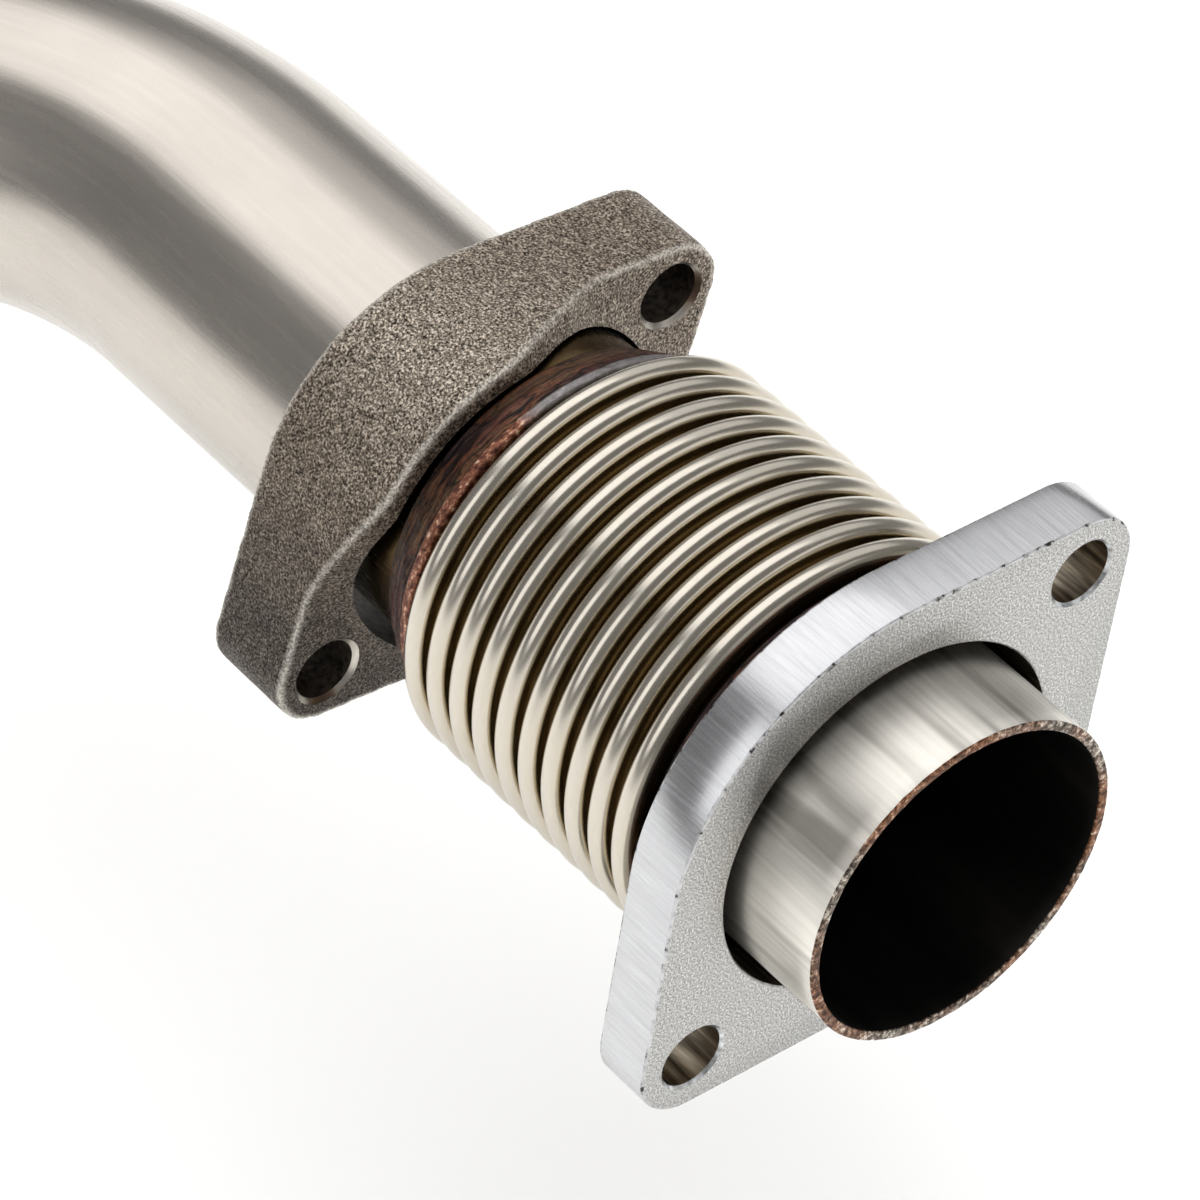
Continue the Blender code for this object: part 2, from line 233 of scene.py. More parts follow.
def ringFaces(rings, steps):
    # quads over rings that follow one another, the last joined to the first
    faces = []
    for ring in range(rings):
        after = (ring + 1) % rings
        for step in range(steps):
            beside = (step + 1) % steps
            here, there = ring * steps, after * steps
            faces.append((here + step, here + beside, there + beside, there + step))
    return faces


def turnedGrid(section, steps):
    # a closed (x, radius) section turned about the X axis, as rows of one array
    section = np.array(section)
    turns = np.arange(steps) * 2 * pi / steps
    grid = np.empty((len(section), steps, 3))
    grid[:, :, 0] = section[:, 0, None]
    grid[:, :, 1] = section[:, 1, None] * np.cos(turns)
    grid[:, :, 2] = section[:, 1, None] * np.sin(turns)
    return grid


def turnedPiece(name, section, steps, material):
    rings = turnedGrid(section, steps)
    return makeObject(name, rings.reshape(-1, 3), ringFaces(len(section), steps), [material])


def densify(section, step):
    # more points along a closed section, its corners kept
    points = []
    for start, end in zip(section, section[1:] + section[:1]):
        length = max(abs(end[0] - start[0]), abs(end[1] - start[1]))
        parts = max(1, round(length / step))
        for part in range(parts):
            share = part / parts
            points.append((start[0] + (end[0] - start[0]) * share, start[1] + (end[1] - start[1]) * share))
    return points


def bakeModifiers(piece):
    # the evaluated object becomes a plain mesh and the modifiers go
    graph = bpy.context.evaluated_depsgraph_get()
    mesh = bpy.data.meshes.new_from_object(piece.evaluated_get(graph))
    piece.modifiers.clear()
    old = piece.data
    piece.data = mesh
    bpy.data.meshes.remove(old)
    mesh.name = piece.name


def markPoints(piece, name, values):
    # a number or a vector at each point, for a material to read
    kind, field = ("FLOAT_VECTOR", "vector") if values.ndim == 2 else ("FLOAT", "value")
    attribute = piece.data.attributes.new(name, kind, "POINT")
    attribute.data.foreach_set(field, values.ravel())


def joinFrame(piece, body, node):
    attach(piece, body)
    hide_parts(node)


# finishes

tubeEnd = seamLow.x  # the bent tube meets the seam weld here
colourMix = {"output": 2, "data_type": "RGBA"}  # its sockets 0, 6 and 7 are the share and the two colours


def fineness(*sizes):
    # a pattern's scale from the real size of its marks in millimetres
    scales = [1 / (size * mm) for size in sizes]
    return scales if len(scales) > 1 else scales[0]


def satinStainless():
    # austenitic stainless tube, belt polished: warm satin grey, soft wide highlights, faint long scratches
    material, add = newMaterial("stainless tube belt polished")
    flow = add("Attribute", output="Vector", attribute_name="tubeFlow")
    drawn = add("Mapping", {"Vector": flow, "Scale": fineness(17, 1.1, 1.1)})
    scratches = add("TexNoise", {"Vector": drawn, "Scale": 1.0, "Detail": 3})
    cloud = add("TexNoise", {"Vector": flow, "Scale": fineness(24), "Detail": 3})
    base = add("Mix", {0: cloud, 6: "#cfc8bf", 7: "#b9b2aa"}, **colourMix)
    share = add("Math", {0: scratches, 1: 0.16}, operation="MULTIPLY")
    streaked = add("Mix", {0: share, 6: base, 7: "#948d86"}, **colourMix)
    # heat tint over the last 15 mm before the weld
    along = add("SeparateXYZ", {"Vector": flow}, "X")
    span = {"Value": along, "From Min": tubeEnd - 15 * mm, "From Max": tubeEnd - 6.5 * mm}
    heat = add("MapRange", span)
    stops = ((0.0, "#a8997f"), (0.3, "#6e5c3f"), (0.6, "#58452d"), (0.85, "#6d5c3c"), (1.0, "#2f2228"))
    tint = add("ValToRGB", {"Fac": heat}, stops=stops)
    tinted = add("Math", {0: heat, 1: 4.0}, operation="MULTIPLY", use_clamp=True)
    colour = add("Mix", {0: tinted, 6: streaked, 7: tint}, **colourMix)
    rough = add("MapRange", {"Value": scratches, "To Min": 0.20, "To Max": 0.33})
    return finishMaterial(
        material, colour, metallic=1.0, roughness=rough, height=scratches, bump=0.05, depth=0.2 * mm
    )


def bellowsSheet():
    # thin stainless strip, rolled and hydroformed: champagne satin on the crests, with painted shade
    # darkening it towards the roots
    material, add = newMaterial("stainless bellows sheet")
    point = add("TexCoord", output="Object")
    parts = add("SeparateXYZ", {"Vector": point}).node.outputs
    squares = [add("Math", {0: parts[axis], 1: 2.0}, operation="POWER") for axis in "YZ"]
    squared = add("Math", {0: squares[0], 1: squares[1]}, operation="ADD")
    radius = add("Math", {0: squared}, operation="SQRT")
    # painted shade: darker and browner from crest to root with the radius, with uneven stain over it
    depth = add("MapRange", {"Value": radius, "From Min": 28.2 * mm, "From Max": 32.6 * mm})
    around = add("Mapping", {"Vector": point, "Scale": fineness(3.3, 11, 11)})
    stain = add("TexNoise", {"Vector": around, "Scale": 1.0, "Detail": 4})
    centred = add("Math", {0: stain, 1: 0.5}, operation="SUBTRACT")
    uneven = add("Math", {0: centred, 1: 0.30}, operation="MULTIPLY")
    rootShadeAndStain = add("Math", {0: depth, 1: uneven}, operation="ADD")
    stops = ((0.0, "#5d4f39"), (0.3, "#8c7a58"), (0.6, "#b8aa8b"), (0.8, "#cdc4b3"), (1.0, "#d1cabe"))
    colour = add("ValToRGB", {"Fac": rootShadeAndStain}, stops=stops)
    rolled = add("Mapping", {"Vector": point, "Scale": fineness(0.38, 2, 2)})
    fine = add("TexNoise", {"Vector": rolled, "Scale": 1.0, "Detail": 3})
    share = add("Math", {0: fine, 1: 0.2}, operation="MULTIPLY")
    speckled = add("Mix", {0: share, 6: colour, 7: "#8d8474"}, **colourMix)
    rough = add("MapRange", {"Value": fine, "To Min": 0.2, "To Max": 0.27})
    return finishMaterial(
        material, speckled, metallic=1.0, roughness=rough, height=fine, bump=0.03, depth=0.15 * mm
    )


def castIron():
    # grey iron from a green sand mould: dark brown grey, coarse grain that glints where the tops are rubbed
    material, add = newMaterial("grey iron sand cast")
    point = add("TexCoord", output="Object")
    grains = []
    for size, share in ((0.36, 0.86), (1.5, 0.14)):  # sand, then crust, and how much of the grain each is
        inputs = {"Vector": point, "Scale": fineness(size), "Detail": 3, "Roughness": 0.6}
        layer = add("TexNoise", inputs)
        grains.append(add("Math", {0: layer, 1: share}, operation="MULTIPLY"))
    grain = add("Math", {0: grains[0], 1: grains[1]}, operation="ADD")
    stops = ((0.38, "#241e1a"), (0.46, "#7f766c"), (0.54, "#aba297"), (0.62, "#f7f0e6"))
    speckle = add("ValToRGB", {"Fac": grain}, stops=stops)
    # painted shade: darker towards its lower ear and lighter over the top, as the light falls, mixed with
    # patches of uneven tone
    parts = add("SeparateXYZ", {"Vector": point}).node.outputs
    leans = [
        add("Math", {0: parts[axis], 1: lean}, operation="MULTIPLY")
        for axis, lean in (("Y", 0.8), ("Z", 0.6))
    ]
    along = add("Math", {0: leans[0], 1: leans[1]}, operation="ADD")
    paintedShadeLean = add("MapRange", {"Value": along, "From Min": -45 * mm, "From Max": 45 * mm})
    patch = add("TexNoise", {"Vector": point, "Scale": fineness(18), "Detail": 3})
    centred = add("Math", {0: patch, 1: 0.5}, operation="SUBTRACT")
    uneven = add("Math", {0: centred, 1: 0.3}, operation="MULTIPLY")
    shadeLeanAndMottle = add("Math", {0: paintedShadeLean, 1: uneven}, operation="ADD")
    # painted shade and light: dark low down to near white on top
    stops = ((0.1, "#51463c"), (0.36, "#a99d90"), (0.58, "#fffaf2"), (0.85, "#cdc3b8"))
    shade = add("ValToRGB", {"Fac": shadeLeanAndMottle}, stops=stops)
    colour = add("Mix", {0: 0.85, 6: speckle, 7: shade}, blend_type="MULTIPLY", **colourMix)
    # rubbed corners
    wear = add("Attribute", output="Fac", attribute_name="rubbed")
    tops = add("ValToRGB", {"Fac": grain}, stops=((0.4, 0.45), (0.56, 1.0)))
    flecked = add("Math", {0: wear, 1: tops}, operation="MULTIPLY")
    share = add("Math", {0: flecked, 1: 0.8}, operation="MULTIPLY")
    worn = add("Mix", {0: share, 6: colour, 7: "#efe9df"}, **colourMix)
    gloss = {"Value": grain, "From Min": 0.3, "From Max": 0.7, "To Min": 0.58, "To Max": 0.34}
    rough = add("MapRange", gloss)
    return finishMaterial(
        material, worn, metallic=0.8, roughness=rough, height=grain, bump=0.75, depth=0.6 * mm
    )


def drilledIron():
    # bare iron left by the drill and the countersink: bright, ringed by the cutter
    material, add = newMaterial("bare iron drilled")
    point = add("TexCoord", output="Object")
    ringed = add("Mapping", {"Vector": point, "Scale": fineness(0.42, 3.8, 3.8)})
    rings = add("TexNoise", {"Vector": ringed, "Scale": 1.0})
    colour = add("Mix", {0: rings, 6: "#e0dad0", 7: "#8f877c"}, **colourMix)
    return finishMaterial(
        material, colour, metallic=1.0, roughness=0.3, height=rings, bump=0.3, depth=0.2 * mm
    )


def castBorePaintedShade():
    # cored hole left as cast: dark cast skin, painted near black as the shade inside the hole
    material, add = newMaterial("grey iron cored hole")
    point = add("TexCoord", output="Object")
    grain = add("TexNoise", {"Vector": point, "Scale": fineness(1.1), "Detail": 4, "Roughness": 0.6})
    colour = add("ValToRGB", {"Fac": grain}, stops=((0.35, "#17130f"), (0.6, "#4c443b")))
    return finishMaterial(
        material, colour, metallic=0.6, roughness=0.6, height=grain, bump=0.5, depth=0.4 * mm
    )


def platedRim():
    # mild steel plate, its rim sawn and ground, then zinc plated: pale silver, lines across the thickness
    material, add = newMaterial("zinc plated steel ground rim")
    point = add("TexCoord", output="Object")
    ground = add("Mapping", {"Vector": point, "Scale": fineness(9, 0.43, 0.43)})
    lines = add("TexNoise", {"Vector": ground, "Scale": 1.0, "Detail": 3})
    cloud = add("TexNoise", {"Vector": point, "Scale": fineness(11), "Detail": 3})
    stops = ((0.3, "#bbbbbd"), (0.5, "#c6c6c8"), (0.7, "#d0d0d2"))
    colour = add("ValToRGB", {"Fac": lines}, stops=stops)
    share = add("Math", {0: cloud, 1: 0.3}, operation="MULTIPLY")
    dulled = add("Mix", {0: share, 6: colour, 7: "#bcbdc0"}, **colourMix)
    rough = add("MapRange", {"Value": lines, "To Min": 0.2, "To Max": 0.32})
    return finishMaterial(
        material, dulled, metallic=1.0, roughness=rough, height=lines, bump=0.045, depth=0.2 * mm
    )


def platedFace():
    # the same plate's face, shot blasted before plating: even grey grain with a few dark pits
    material, add = newMaterial("zinc plated steel blasted face")
    point = add("TexCoord", output="Object")
    blast = {"Vector": point, "Scale": fineness(0.31), "Detail": 3, "Roughness": 0.6}
    grain = add("TexNoise", blast)
    cloud = add("TexNoise", {"Vector": point, "Scale": fineness(20), "Detail": 3})
    pits = add("TexVoronoi", {"Vector": point, "Scale": fineness(6.7)})  # how far apart they lie
    pitted = add("ValToRGB", {"Fac": pits}, stops=((0.03, 0.45), (0.07, 1.0)))
    stops = ((0.36, "#7c7b79"), (0.5, "#aeadab"), (0.64, "#e6e5e2"))
    colour = add("ValToRGB", {"Fac": grain}, stops=stops)
    share = add("Math", {0: cloud, 1: 0.3}, operation="MULTIPLY")
    shaded = add("Mix", {0: share, 6: colour, 7: "#b4b3b1"}, **colourMix)
    spotted = add("Mix", {0: 0.5, 6: shaded, 7: pitted}, blend_type="MULTIPLY", **colourMix)
    return finishMaterial(
        material, spotted, metallic=1.0, roughness=0.36, height=grain, bump=0.3, depth=0.2 * mm
    )


def platedEdge():
    # the plate's corner: plating worn bright, nicked here and there down to dark steel
    material, add = newMaterial("zinc plated steel nicked edge")
    point = add("TexCoord", output="Object")
    nicks = add("TexNoise", {"Vector": point, "Scale": fineness(1.6), "Detail": 3, "Roughness": 0.6})
    stops = ((0.37, "#3a3634"), (0.43, "#adadae"), (0.6, "#c9c9ca"))
    colour = add("ValToRGB", {"Fac": nicks}, stops=stops)
    return finishMaterial(
        material, colour, metallic=1.0, roughness=0.3, height=nicks, bump=0.5, depth=0.3 * mm
    )


def plateBore():
    # inside of the plate's bore: bored bare after plating, browned by the weld behind it
    material, add = newMaterial("bare steel bore")
    point = add("TexCoord", output="Object")
    bored = add("Mapping", {"Vector": point, "Scale": fineness(11, 1.1, 1.1)})
    marks = add("TexNoise", {"Vector": bored, "Scale": 1.0, "Detail": 3})
    stops = ((0.3, "#4a453e"), (0.5, "#8d8272"), (0.7, "#c9bfb0"))
    colour = add("ValToRGB", {"Fac": marks}, stops=stops)
    return finishMaterial(
        material, colour, metallic=1.0, roughness=0.35, height=marks, bump=0.3, depth=0.2 * mm
    )


def drilledSteel():
    # bolt holes of the plate and their rims: bright where the countersink has just cut
    material, add = newMaterial("bare steel drilled")
    point = add("TexCoord", output="Object")
    grain = add("TexNoise", {"Vector": point, "Scale": fineness(0.9), "Detail": 3})
    colour = add("ValToRGB", {"Fac": grain}, stops=((0.3, "#8d8e8f"), (0.6, "#d9dadb")))
    return finishMaterial(
        material, colour, metallic=1.0, roughness=0.3, height=grain, bump=0.25, depth=0.2 * mm
    )


def millStainless():
    # welded tube as it leaves the mill: grey, with draw lines along its length and dull bands
    material, add = newMaterial("stainless tube mill finish")
    point = add("TexCoord", output="Object")
    layers = []
    for sizes in ((29, 0.77, 0.77), (71, 5.9, 5.9)):  # length and width of a draw line, then of a dull band
        drawn = add("Mapping", {"Vector": point, "Scale": fineness(*sizes)})
        layers.append(add("TexNoise", {"Vector": drawn, "Scale": 1.0, "Detail": 3}))
    lines, broad = layers
    stops = ((0.3, "#dad6ce"), (0.5, "#e3dfd7"), (0.72, "#ece8e0"))
    colour = add("ValToRGB", {"Fac": lines}, stops=stops)
    dull = add("ValToRGB", {"Fac": broad}, stops=((0.5, 0.0), (0.6, 0.75)))
    banded = add("Mix", {0: dull, 6: colour, 7: "#96918a"}, **colourMix)
    rough = add("MapRange", {"Value": lines, "To Min": 0.36, "To Max": 0.44})
    height = add("Math", {0: lines, 1: broad}, operation="ADD")
    return finishMaterial(
        material, banded, metallic=1.0, roughness=rough, height=height, bump=0.05, depth=0.2 * mm
    )


def sawCut():
    # tube end left by the saw: torn bright specks, in brown scale here and bare grey there
    material, add = newMaterial("stainless raw saw cut")
    point = add("TexCoord", output="Object")
    tears = {"Vector": point, "Scale": fineness(0.77), "Detail": 4, "Roughness": 0.65}
    torn = add("TexNoise", tears)
    stops = ((0.35, "#2b1b12"), (0.5, "#744a30"), (0.6, "#a87f62"), (0.7, "#e9d9c6"))
    scaled = add("ValToRGB", {"Fac": torn}, stops=stops)
    stops = ((0.38, "#28221d"), (0.5, "#6f655a"), (0.58, "#aea598"), (0.68, "#f2ece3"))
    bare = add("ValToRGB", {"Fac": torn}, stops=stops)
    patch = add("TexNoise", {"Vector": point, "Scale": fineness(14)})
    where = add("ValToRGB", {"Fac": patch}, stops=((0.42, 0.0), (0.58, 1.0)))
    colour = add("Mix", {0: where, 6: scaled, 7: bare}, **colourMix)
    return finishMaterial(
        material, colour, metallic=0.8, roughness=0.45, height=torn, bump=0.8, depth=0.4 * mm
    )


def paintedShadeBore():
    # inside of the tubes: painted shade, dull dark grey, standing in for the little light that reaches in
    material, add = newMaterial("stainless bore in painted shade")
    point = add("TexCoord", output="Object")
    drifted = add("Mapping", {"Vector": point, "Scale": fineness(33, 8.3, 8.3)})
    cloud = add("TexNoise", {"Vector": drifted, "Scale": 1.0, "Detail": 4})
    stops = ((0.3, "#1f1e1d"), (0.55, "#343230"), (0.75, "#4b4844"))
    colour = add("ValToRGB", {"Fac": cloud}, stops=stops)
    return finishMaterial(material, colour, metallic=0.9, roughness=0.42)


def heatScale():
    # weld metal after heat: brown-black scale and oxide films, split by long cracks with rust veins beside
    material, add = newMaterial("weld metal heat scaled")
    point = add("TexCoord", output="Object")
    spread = add("Mapping", {"Vector": point, "Scale": fineness(0.59, 17, 17)})
    bands = add("TexNoise", {"Vector": spread, "Scale": 1.0, "Detail": 5, "Roughness": 0.65})
    spread = add("Mapping", {"Vector": point, "Scale": fineness(3.8, 20, 20)})
    film = add("TexNoise", {"Vector": spread, "Scale": 1.0, "Detail": 3})
    grit = add("TexNoise", {"Vector": point, "Scale": fineness(0.59), "Detail": 4, "Roughness": 0.6})
    stops = (
        (0.34, "#0c0909"), (0.45, "#281c1d"), (0.53, "#422f2c"),
        (0.59, "#86604a"), (0.64, "#1c1517"), (0.76, "#514146"),
    )
    scale = add("ValToRGB", {"Fac": bands}, stops=stops)
    stops = ((0.36, "#2b2935"), (0.48, "#382d26"), (0.58, "#75603c"), (0.68, "#4e302d"))
    oxide = add("ValToRGB", {"Fac": film}, stops=stops)
    colour = add("Mix", {0: 0.4, 6: scale, 7: oxide}, **colourMix)
    ridge = add("Attribute", output="Fac", attribute_name="ridge")
    veins = ((0.48, 0.0), (0.495, 0.6), (0.515, 0.0), (0.575, 0.0), (0.59, 0.6), (0.61, 0.0))
    cracks = ((0.44, 0.0), (0.46, 0.97), (0.48, 0.0), (0.535, 0.0), (0.555, 0.97), (0.575, 0.0))
    layers = (  # what places it, where it shows, its colour
        (ridge, ((0.62, 0.0), (0.8, 0.35)), "#6d3022"),
        (film, veins, "#74402a"),
        (film, cracks, "#0c0808"),
        (grit, ((0.5, 0.0), (0.66, 0.6)), "#1a1412"),
    )
    for cause, stops, added in layers:
        where = add("ValToRGB", {"Fac": cause}, stops=stops)
        colour = add("Mix", {0: where, 6: colour, 7: added}, **colourMix)
    rough = add("MapRange", {"Value": grit, "To Min": 0.24, "To Max": 0.55})
    raised = add("Math", {0: bands, 1: 2.0}, operation="MULTIPLY")
    height = add("Math", {0: grit, 1: raised}, operation="ADD")
    return finishMaterial(
        material, colour, metallic=0.75, roughness=rough, height=height, bump=0.7, depth=0.25 * mm
    )


def rustBand():
    # clamp band: flaky rust red, its far side still smooth grey mill scale, the torn lip orange
    material, add = newMaterial("steel band rusted")
    point = add("TexCoord", output="Object")
    spread = add("Mapping", {"Vector": point, "Scale": fineness(0.67, 1.1, 1.1)})
    flakes = add("TexNoise", {"Vector": spread, "Scale": 1.0, "Detail": 5, "Roughness": 0.65})
    stops = ((0.34, "#2e1b16"), (0.46, "#6b4234"), (0.56, "#8f5c47"), (0.66, "#dcbb9f"))
    red = add("ValToRGB", {"Fac": flakes}, stops=stops)
    stops = ((0.3, "#625e5d"), (0.5, "#767271"), (0.7, "#8f8a8a"))
    grey = add("ValToRGB", {"Fac": flakes}, stops=stops)
    across = add("SeparateXYZ", {"Vector": point}, "Y")
    cloud = add("TexNoise", {"Vector": point, "Scale": fineness(11), "Detail": 3})
    sway = add("Math", {0: cloud, 1: 9 * mm}, operation="MULTIPLY")
    swayed = add("Math", {0: across, 1: sway}, operation="ADD")
    where = add("MapRange", {"Value": swayed, "From Min": -5.0 * mm, "From Max": -1.5 * mm})
    colour = add("Mix", {0: where, 6: red, 7: grey}, **colourMix)
    lip = add("Attribute", output="Fac", attribute_name="lip")
    torn = add("ValToRGB", {"Fac": lip}, stops=((0.75, 0.0), (0.97, 0.8)))
    edged = add("Mix", {0: torn, 6: colour, 7: "#b8623a"}, **colourMix)
    eased = add("Math", {0: where, 1: 0.8}, operation="MULTIPLY")
    calm = add("Math", {0: 1.0, 1: eased}, operation="SUBTRACT")
    height = add("Math", {0: flakes, 1: calm}, operation="MULTIPLY")
    return finishMaterial(
        material, edged, metallic=0.75, roughness=0.38, height=height, bump=0.6, depth=0.3 * mm
    )


sheetMetal = bellowsSheet()
weldMetal = heatScale()
# the tubes' bores, painted dark as shade
boreShade = paintedShadeBore()

# bellows: one sheet form made by geometry nodes, used for both plies

bellows = {
    "convolutions": 10,
    "pitch": 4.92 * mm,
    "rootRadius": 28.6 * mm,
    "crestRadius": plyHigh.z,
    "crestRound": 1.70 * mm,  # the crests are wide half rounds, the roots narrow ones
    "crestPart": 0.5,  # share of the steps spent on the crest, then on the wall, then on the root
    "rootPart": 0.65,
    "shift": 0.14 * mm,  # the crests lean this much towards the outlet
    "ply": 0.30 * mm,
    "innerDepth": 0.34 * mm,
    "toCollar": 0.66 * mm,  # from the last root to the outlet collar
    "merge": 0.005 * mm,
    "sharp": 50,
    "stepsAlong": 40,
    "stepsAround": 240,
}
bellows["outletEnd"] = ringLow.x - bellows["toCollar"]
bellows["inletEnd"] = bellows["outletEnd"] - bellows["convolutions"] * bellows["pitch"]


def convolutionTree():
    tree = bpy.data.node_groups.new("bellows convolutions", "GeometryNodeTree")
    add = partial(addNode, tree)
    sockets = {}
    for name, kind, value in (
        ("Convolutions", "Int", 3),
        ("Pitch", "Float", bellows["pitch"]),
        ("First Root", "Float", 0.0),
        ("Root Radius", "Float", bellows["rootRadius"]),
        ("Crest Radius", "Float", bellows["crestRadius"]),
        ("Crest Round", "Float", bellows["crestRound"]),
        ("Depth", "Float", 0.0),
        ("Steps Along", "Int", bellows["stepsAlong"]),
        ("Steps Around", "Int", bellows["stepsAround"]),
        ("Material", "Material", None),
    ):
        socket = tree.interface.new_socket(name, in_out="INPUT", socket_type="NodeSocket" + kind)
        if value is not None:
            socket.default_value = value
        sockets[name] = socket.identifier
    tree.interface.new_socket("Geometry", in_out="OUTPUT", socket_type="NodeSocketGeometry")
    inputs = add("NodeGroupInput").node.outputs
    place = add("GeometryNodeInputPosition")
    parts = add("SeparateXYZ", {0: place}).node.outputs
    known = {name: inputs[name] for name in sockets}
    known.update({"gridX": parts["X"], "gridY": parts["Y"]})
    sums = [  # a result's name, then what is done with which values
        ("cells", "MULTIPLY", "Convolutions", "Steps Along"),
        ("rows", "ADD", "cells", 1.0),
        ("columns", "ADD", "Steps Around", 1.0),
        ("gridShare", "ADD", "gridX", 0.5),
        ("along", "MULTIPLY", "gridShare", "Convolutions"),  # whole numbers at the roots
        ("around", "MULTIPLY", "gridY", 2 * pi),
        ("nudged", "ADD", "along", 0.0001),
        ("number", "FLOOR", "nudged"),
        ("past", "SUBTRACT", "along", "number"),
        ("doubled", "MULTIPLY", "past", 2.0),
        ("within", "SUBTRACT", "doubled", 1.0),  # nought at a crest
        ("side", "SIGN", "within"),
        ("away", "ABSOLUTE", "within"),
    ]
    crestEnd, wallEnd = bellows["crestPart"], bellows["rootPart"]
    for part, first, last in (("crest", 0.0, crestEnd), ("root", 1.0, wallEnd), ("wall", crestEnd, wallEnd)):
        # an angle that runs from nought to a quarter turn between two places
        sums += [
            (part + "Way", "SUBTRACT", "away", first),
            (part + "Share", "DIVIDE", part + "Way", last - first),
            (part + "Begun", "MAXIMUM", part + "Share", 0.0),
            (part + "Held", "MINIMUM", part + "Begun", 1.0),
            (part + "Turn", "MULTIPLY", part + "Held", pi / 2),
        ]
    sums += [
        ("half", "MULTIPLY", "Pitch", 0.5),
        ("rootRound", "SUBTRACT", "half", "Crest Round"),
        ("depth", "SUBTRACT", "Crest Radius", "Root Radius"),
        ("wall", "SUBTRACT", "depth", "half"),
        ("crestSine", "SINE", "crestTurn"),
        ("crestX", "MULTIPLY", "Crest Round", "crestSine"),
        ("rootSine", "SINE", "rootTurn"),
        ("rootLeft", "SUBTRACT", 1.0, "rootSine"),
        ("rootX", "MULTIPLY", "rootRound", "rootLeft"),
        ("middleNumber", "ADD", "number", 0.5),
        ("middleWay", "MULTIPLY", "middleNumber", "Pitch"),
        ("middle", "ADD", "middleWay", "First Root"),
        ("reach", "ADD", "crestX", "rootX"),
        ("sideReach", "MULTIPLY", "side", "reach"),
        ("x", "ADD", "sideReach", "middle"),
        ("crestCosine", "COSINE", "crestTurn"),
        ("crestLeft", "SUBTRACT", 1.0, "crestCosine"),
        ("crestDrop", "MULTIPLY", "Crest Round", "crestLeft"),
        ("wallDone", "DIVIDE", "wallTurn", pi / 2),
        ("wallDrop", "MULTIPLY", "wall", "wallDone"),
        ("rootCosine", "COSINE", "rootTurn"),
        ("rootDrop", "MULTIPLY", "rootRound", "rootCosine"),
        ("lowerDrop", "ADD", "wallDrop", "rootDrop"),
        ("drop", "ADD", "crestDrop", "lowerDrop"),
        ("radius", "SUBTRACT", "Crest Radius", "drop"),
        ("aroundCosine", "COSINE", "around"),
        ("y", "MULTIPLY", "radius", "aroundCosine"),
        ("aroundSine", "SINE", "around"),
        ("z", "MULTIPLY", "radius", "aroundSine"),
    ]
    for name, operation, *values in sums:  # a value is a name from above or a plain number
        worked = {socket: known.get(value, value) for socket, value in enumerate(values)}
        known[name] = add("Math", worked, operation=operation)
    size = {"Size X": 1.0, "Size Y": 1.0, "Vertices X": known["rows"], "Vertices Y": known["columns"]}
    grid = add("GeometryNodeMeshGrid", size)
    point = add("CombineXYZ", {0: known["x"], 1: known["y"], 2: known["z"]})
    formed = add("GeometryNodeSetPosition", {"Geometry": grid, "Position": point})
    closing = {"Geometry": formed, "Distance": bellows["merge"]}
    merged = add("GeometryNodeMergeByDistance", closing)
    flat = add("GeometryNodeInputNormal")
    inward = add("VectorMath", {0: flat, "Scale": inputs["Depth"]}, operation="SCALE")
    sunk = add("GeometryNodeSetPosition", {"Geometry": merged, "Offset": inward})
    real = add("GeometryNodeRealizeInstances", {0: sunk})
    dressed = add("GeometryNodeSetMaterial", {"Geometry": real, "Material": inputs["Material"]})
    add("NodeGroupOutput", {0: dressed})
    return tree, sockets


def sheetLength(name, tree, sockets, settings):
    piece = addToScene(name, bpy.data.meshes.new(name))
    form = piece.modifiers.new("form", "NODES")
    form.node_group = tree
    for label, setting in settings.items():
        form[sockets[label]] = setting
    bakeModifiers(piece)
    bm = bmesh.new()
    bm.from_mesh(piece.data)
    outwards = 0
    for face in bm.faces:
        centre = face.calc_center_median()
        outwards += face.normal.dot(Vector((0, centre.y, centre.z)))
    if outwards < 0:
        bmesh.ops.reverse_faces(bm, faces=bm.faces)
    bm.to_mesh(piece.data)
    bm.free()
    solidify = piece.modifiers.new("sheet", "SOLIDIFY")
    solidify.thickness = bellows["ply"]
    solidify.offset = -1
    solidify.use_even_offset = False
    bakeModifiers(piece)
    shadeSmooth(piece.data, bellows["sharp"])
    return piece


def makeBellows():
    tree, sockets = convolutionTree()
    pitch = bellows["pitch"]
    # three lengths, each listed with the two bodies of the joint it spans; nothing reads those bodies, and
    # the pieces are not attached
    lengths = (
        ("inlet", 0, 6, "outer_ply", "pipe"),
        ("middle", 6, 2, "inner_ply", "outer_ply"),
        ("outlet", 8, 2, "outlet", "inner_ply"),
    )
    # the inner ply is hardly seen, so it has half the steps
    plies = (("outer", 0.0, "bellows_outer_ply", 1), ("inner", bellows["innerDepth"], "bellows_inner_ply", 2))
    for plyName, depth, node, coarse in plies:
        for lengthName, first, count, nearer, further in lengths:
            start = bellows["inletEnd"] + first * pitch
            settings = {
                "Convolutions": count,
                "Pitch": pitch,
                "First Root": start + bellows["shift"],
                "Root Radius": bellows["rootRadius"],
                "Crest Radius": bellows["crestRadius"],
                "Crest Round": bellows["crestRound"],
                "Depth": depth,
                "Steps Along": bellows["stepsAlong"] // coarse,
                "Steps Around": bellows["stepsAround"] // coarse,
                "Material": sheetMetal,
            }
            piece = sheetLength(f"bellows_{plyName}_{lengthName}", tree, sockets, settings)
            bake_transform(piece)
            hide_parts(node)


makeBellows()
print("bellows made")

# the slip tube, with a sawn rim

liner = {
    "wall": 1.5 * mm,
    "edge": 0.25 * mm,  # how far the rim's corners are broken
    "torn": 0.07 * mm,  # how ragged the saw left the rim
    "tearWidths": (1.1, 0.43),  # in millimetres
    "fineTear": 0.6,  # the fine tears' share of the coarse ones' depth
    "ringStep": 2.5 * mm,
    "steps": 320,
}


